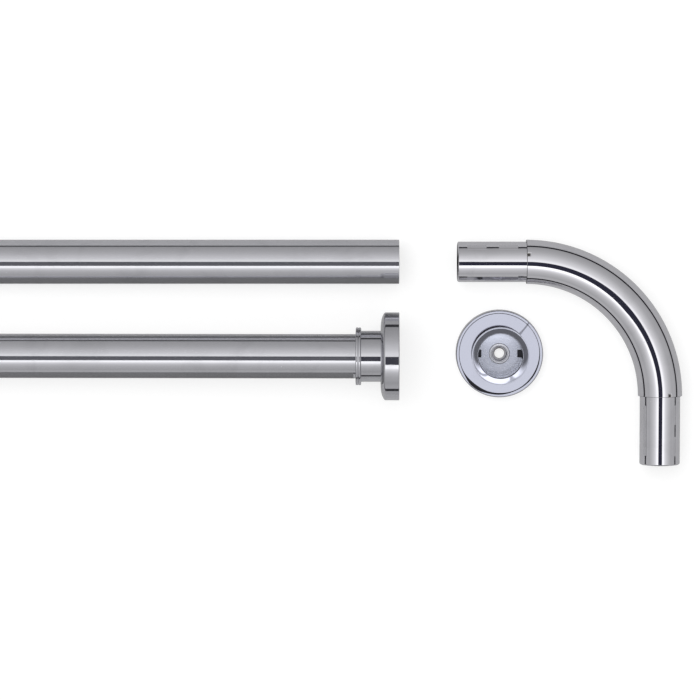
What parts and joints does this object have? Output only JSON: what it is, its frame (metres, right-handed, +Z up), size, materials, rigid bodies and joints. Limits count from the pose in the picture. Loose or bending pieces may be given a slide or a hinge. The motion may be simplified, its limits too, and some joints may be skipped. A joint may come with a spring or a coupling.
{
  "type": "corner shower curtain rod",
  "caption": "Corner shower curtain rod kit laid flat: straight chromed tubes, a quarter bend with ribbed connectors, and round wall flanges with beaded necks, fitted and loose.",
  "frame": {"origin": "middle of the kit's outline, on the plane that the kit lies on", "axes": "+X along the rods towards the elbow, +Y from the lower rod towards the upper rod, +Z up off the plane"},
  "size_m": [0.8856, 0.1274, 0.0496],
  "materials": {
    "polished_tube": "polished chrome with faint drawing lines",
    "polished_bend": "polished chrome",
    "connector_chrome": "polished chrome with rubbed ribs",
    "cover_chrome": "polished chrome with faint turning lines",
    "socket_zinc": "satin nickel on die-cast zinc",
    "bush_steel": "turned steel",
    "black_rubber": "matte",
    "grey_gasket": "matte closed-cell foam"
  },
  "bodies": {
    "elbow": {"elbow_bend": "polished_bend", "connector_a": "connector_chrome", "connector_b": "connector_chrome"},
    "upper_rod": {"rod_a": "polished_tube"},
    "lower_rod": {"rod_b": "polished_tube"},
    "fixed_socket": {"wall_socket_b": "socket_zinc", "screw_bush_b": "bush_steel", "cover_o_ring_b": "black_rubber", "wall_gasket_b": "grey_gasket"},
    "fixed_cover": {"flange_cover_b": "cover_chrome", "rod_grip_ring_b": "black_rubber"},
    "loose_socket": {"wall_socket_a": "socket_zinc", "screw_bush_a": "bush_steel", "cover_o_ring_a": "black_rubber", "wall_gasket_a": "grey_gasket"},
    "loose_cover": {"flange_cover_a": "cover_chrome", "rod_grip_ring_a": "black_rubber"}
  },
  "joints": [
    {"name": "upper_rod_slide", "type": "slide", "parent": "elbow", "child": "upper_rod", "axis": [1, 0, 0], "range_m": [0, 0.0715]},
    {"name": "lower_rod_lift", "type": "slide", "parent": "elbow", "child": "lower_rod", "axis": [0, 0, 1], "range_m": [0, 0.1]},
    {"name": "fixed_socket_pull", "type": "slide", "parent": "lower_rod", "child": "fixed_socket", "axis": [0.9999, 0, 0.0171], "range_m": [0, 0.02]},
    {"name": "fixed_cover_slide", "type": "slide", "parent": "lower_rod", "child": "fixed_cover", "axis": [-0.9999, 0, -0.0171], "range_m": [0, 0.06]},
    {"name": "loose_flange_lift", "type": "slide", "parent": "elbow", "child": "loose_socket", "axis": [0, 0, 1], "range_m": [0, 0.1]},
    {"name": "loose_cover_slide", "type": "slide", "parent": "loose_socket", "child": "loose_cover", "axis": [0, 0, 1], "range_m": [0, 0.03]}
  ]
}
